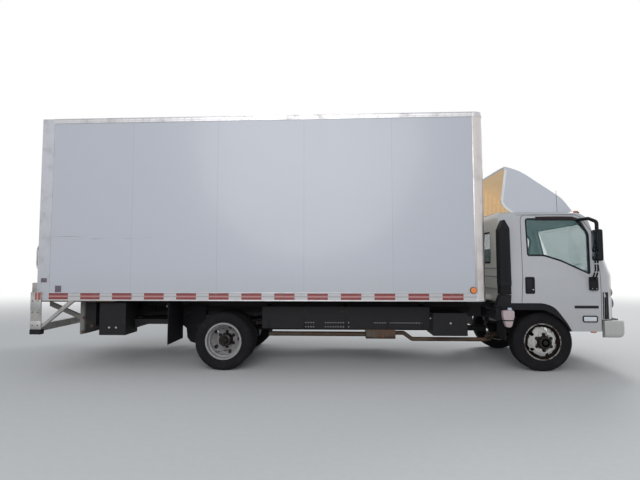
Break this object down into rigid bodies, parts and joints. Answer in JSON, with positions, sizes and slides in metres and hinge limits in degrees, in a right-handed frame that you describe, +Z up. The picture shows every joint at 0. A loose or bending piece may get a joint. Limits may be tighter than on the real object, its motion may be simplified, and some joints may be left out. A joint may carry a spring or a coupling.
{
  "type": "box truck",
  "caption": "Low-cab-forward box truck with a tall dry freight box, twin rear wheels, a roof air deflector, steered front wheels, opening doors and a tilting cab.",
  "frame": {"origin": "on the ground, under the middle of the overall length and width", "axes": "+X forward, +Y to the truck's left, +Z up"},
  "size_m": [8.3758, 2.65, 3.591],
  "materials": {
    "chassis_black": "satin black paint under road dust",
    "cast_grey": "cast",
    "rusty_steel": "rusty brown",
    "black_plastic": "matte grained",
    "black_rubber": "matte",
    "clear_plastic": "translucent, faintly pink",
    "cab_white": "gloss white",
    "box_white": "smooth pale panel with faint scuffs",
    "aluminium_sheet": "mill",
    "bright_aluminium": "bright, with red and white tape on the low rail",
    "rear_steel": "stainless",
    "lamp_amber": "lens",
    "lamp_clear": "lens",
    "window_glass": "clear with a green tint",
    "seat_cloth": "grey cloth",
    "dash_grey": "grained",
    "rim_white": "white paint with rust spots",
    "tyre": "matte black with dust"
  },
  "bodies": {
    "chassis": {"frame_rails": "chassis_black", "front_axle": "chassis_black", "rear_axle": "chassis_black", "engine_block": "cast_grey", "exhaust": "rusty_steel", "side_shield": "chassis_black", "frame_boxes": "black_plastic", "fuel_tank": "chassis_black", "bumper": "cab_white", "mudflaps": "black_rubber", "intake_duct": "black_plastic", "coolant_bottle": "clear_plastic", "box_floor": "chassis_black", "box_walls": "box_white", "box_roof": "aluminium_sheet", "corner_posts": "bright_aluminium", "side_rails": "bright_aluminium", "rear_frame": "rear_steel", "roll_up_door": "box_white", "box_lamps": "lamp_amber", "lift_guards": "rear_steel", "lift_platform": "chassis_black"},
    "cab": {"cab_floor": "chassis_black", "cab_back": "cab_white", "cab_roof": "cab_white", "cab_front": "cab_white", "windshield": "window_glass", "rear_window": "window_glass", "grille": "black_plastic", "head_lamps": "lamp_clear", "wheel_arches": "black_plastic", "seats": "seat_cloth", "dashboard": "dash_grey", "roof_deflector": "cab_white", "snorkel": "black_plastic"},
    "door_right": {"door_right": "cab_white", "door_glass_right": "window_glass", "mirror_right": "black_plastic"},
    "door_left": {"door_left": "cab_white", "door_glass_left": "window_glass", "mirror_left": "black_plastic"},
    "knuckle_right": {"knuckle_right": "chassis_black"},
    "knuckle_left": {"knuckle_left": "chassis_black"},
    "wheel_front_right": {"front_rim_right": "rim_white", "front_tyre_right": "tyre"},
    "wheel_front_left": {"front_rim_left": "rim_white", "front_tyre_left": "tyre"},
    "wheels_rear_right": {"rear_rims_right": "rim_white", "rear_tyres_right": "tyre"},
    "wheels_rear_left": {"rear_rims_left": "rim_white", "rear_tyres_left": "tyre"}
  },
  "joints": [
    {"name": "cab_tilt", "type": "hinge", "parent": "chassis", "child": "cab", "pos_m": [4.02, 0, 0.75], "axis": [0, 1, 0], "range_deg": [0, 45]},
    {"name": "door_right_hinge", "type": "hinge", "parent": "cab", "child": "door_right", "pos_m": [3.747, -1.034, 1.2], "axis": [0, 0, 1], "range_deg": [0, 70]},
    {"name": "door_left_hinge", "type": "hinge", "parent": "cab", "child": "door_left", "pos_m": [3.747, 1.034, 1.2], "axis": [0, 0, -1], "range_deg": [0, 70]},
    {"name": "steer_left", "type": "hinge", "parent": "chassis", "child": "knuckle_left", "pos_m": [2.988, 0.72, 0.406], "axis": [0, 0, 1], "range_deg": [-38, 38]},
    {"name": "steer_right", "type": "hinge", "parent": "chassis", "child": "knuckle_right", "pos_m": [2.988, -0.72, 0.406], "axis": [0, 0, 1], "range_deg": [-38, 38]},
    {"name": "roll_front_right", "type": "hinge", "parent": "knuckle_right", "child": "wheel_front_right", "pos_m": [2.988, -0.8325, 0.406], "axis": [0, 1, 0], "continuous": true},
    {"name": "roll_rear_right", "type": "hinge", "parent": "chassis", "child": "wheels_rear_right", "pos_m": [-1.482, -0.825, 0.406], "axis": [0, 1, 0], "continuous": true},
    {"name": "roll_front_left", "type": "hinge", "parent": "knuckle_left", "child": "wheel_front_left", "pos_m": [2.988, 0.8325, 0.406], "axis": [0, 1, 0], "continuous": true},
    {"name": "roll_rear_left", "type": "hinge", "parent": "chassis", "child": "wheels_rear_left", "pos_m": [-1.482, 0.825, 0.406], "axis": [0, 1, 0], "continuous": true}
  ],
  "couplings": [
    {"joint": "steer_right", "follows": "steer_left", "ratio": 1}
  ]
}
